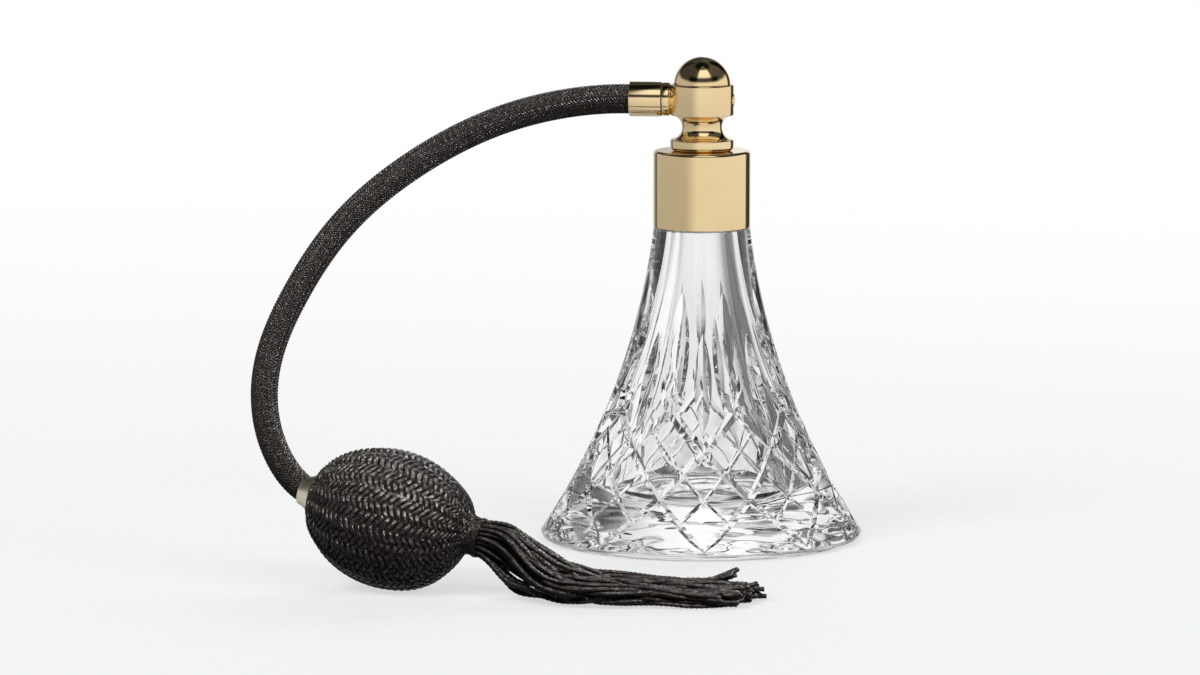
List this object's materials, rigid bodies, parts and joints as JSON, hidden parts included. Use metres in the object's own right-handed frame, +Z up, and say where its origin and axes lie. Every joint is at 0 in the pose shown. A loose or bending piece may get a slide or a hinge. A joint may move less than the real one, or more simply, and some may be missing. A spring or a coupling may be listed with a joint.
{
  "type": "perfume atomiser",
  "caption": "Tall crystal cone bottle with a gold screw collar and swivelling spray head, a braided hose and a netted squeeze bulb with tassel.",
  "frame": {"origin": "centre of the bottle's flat foot, on the surface it stands on", "axes": "+Z up the bottle's axis, +X the way it sprays; the hose leaves towards -X and the bulb lies on the -Y side"},
  "size_m": [0.177, 0.1858, 0.15],
  "materials": {
    "crystal": "polished",
    "gold_plate": "polished",
    "pale_gold": "polished",
    "turned_brass": "turned",
    "liner_plastic": "moulded",
    "seal_rubber": "matte",
    "clear_tube": "clear",
    "black_rubber": "matte",
    "black_silk": "braided silk",
    "fibre": "pressed fibre",
    "valve_plastic": "moulded",
    "steel_ball": "polished"
  },
  "bodies": {
    "bottle": {"glass_bottle": "crystal", "neck_ring": "turned_brass"},
    "gasket": {"neck_gasket": "seal_rubber"},
    "plug": {"neck_plug": "turned_brass"},
    "collar": {"collar_shell": "gold_plate", "thread_liner": "liner_plastic"},
    "head": {"spray_head_body": "gold_plate", "dome_cap": "gold_plate", "stem_nut": "turned_brass", "stem_washer": "turned_brass", "dip_tube": "clear_tube", "liquid_jet": "turned_brass", "nozzle_insert": "gold_plate", "hose_connector": "gold_plate", "connector_washer": "fibre", "hose_ferrule": "gold_plate", "hose_tube_upper": "black_rubber", "hose_braid_upper": "black_silk"},
    "hose_middle": {"hose_tube_middle": "black_rubber", "hose_braid_middle": "black_silk"},
    "bulb": {"hose_tube_lower": "black_rubber", "hose_braid_lower": "black_silk", "bulb_ferrule": "pale_gold", "bulb_connector": "turned_brass", "rubber_bulb": "black_rubber", "net_cover": "black_silk", "intake_valve_body": "valve_plastic", "valve_retainer": "valve_plastic", "tail_binding": "black_silk", "tassel_knot": "black_silk"},
    "thumb_pad": {"rubber_thumb_pad": "black_rubber", "net_thumb_pad": "black_silk"},
    "valve_ball": {"intake_valve_ball": "steel_ball"},
    "tassel": {"tassel_cords": "black_silk"}
  },
  "joints": [
    {"name": "lift_off", "type": "slide", "parent": "bottle", "child": "gasket", "axis": [0, 0, 1], "range_m": [0, 0.105]},
    {"name": "thread_rise", "type": "slide", "parent": "gasket", "child": "plug", "axis": [0, 0, 1], "range_m": [0, 0.0036]},
    {"name": "collar_turn", "type": "hinge", "parent": "plug", "child": "collar", "pos_m": [0, 0, 0.11], "axis": [0, 0, 1], "range_deg": [0, 520]},
    {"name": "head_swivel", "type": "hinge", "parent": "plug", "child": "head", "pos_m": [0, 0, 0.121], "axis": [0, 0, 1], "continuous": true},
    {"name": "hose_bend_upper", "type": "hinge", "parent": "head", "child": "hose_middle", "pos_m": [-0.105, -0.044, 0.102], "axis": [0.3124, -0.7385, 0.5975], "range_deg": [-15, 20]},
    {"name": "hose_bend_lower", "type": "hinge", "parent": "hose_middle", "child": "bulb", "pos_m": [-0.123, -0.0845, 0.0585], "axis": [0.4824, -0.7315, 0.4818], "range_deg": [-20, 20]},
    {"name": "bulb_squeeze", "type": "slide", "parent": "bulb", "child": "thumb_pad", "axis": [-0.239, 0.0552, -0.9694], "range_m": [0, 0.012]},
    {"name": "valve_lift", "type": "slide", "parent": "bulb", "child": "valve_ball", "axis": [-0.9446, 0.2181, 0.2453], "range_m": [0, 0.0009]},
    {"name": "tassel_swing", "type": "hinge", "parent": "bulb", "child": "tassel", "pos_m": [-0.05578, -0.11205, 0.01718], "axis": [0, 0, 1], "range_deg": [-20, 20]}
  ],
  "couplings": [
    {"joint": "collar_turn", "follows": "thread_rise", "rad_per_m": 2513.3}
  ]
}
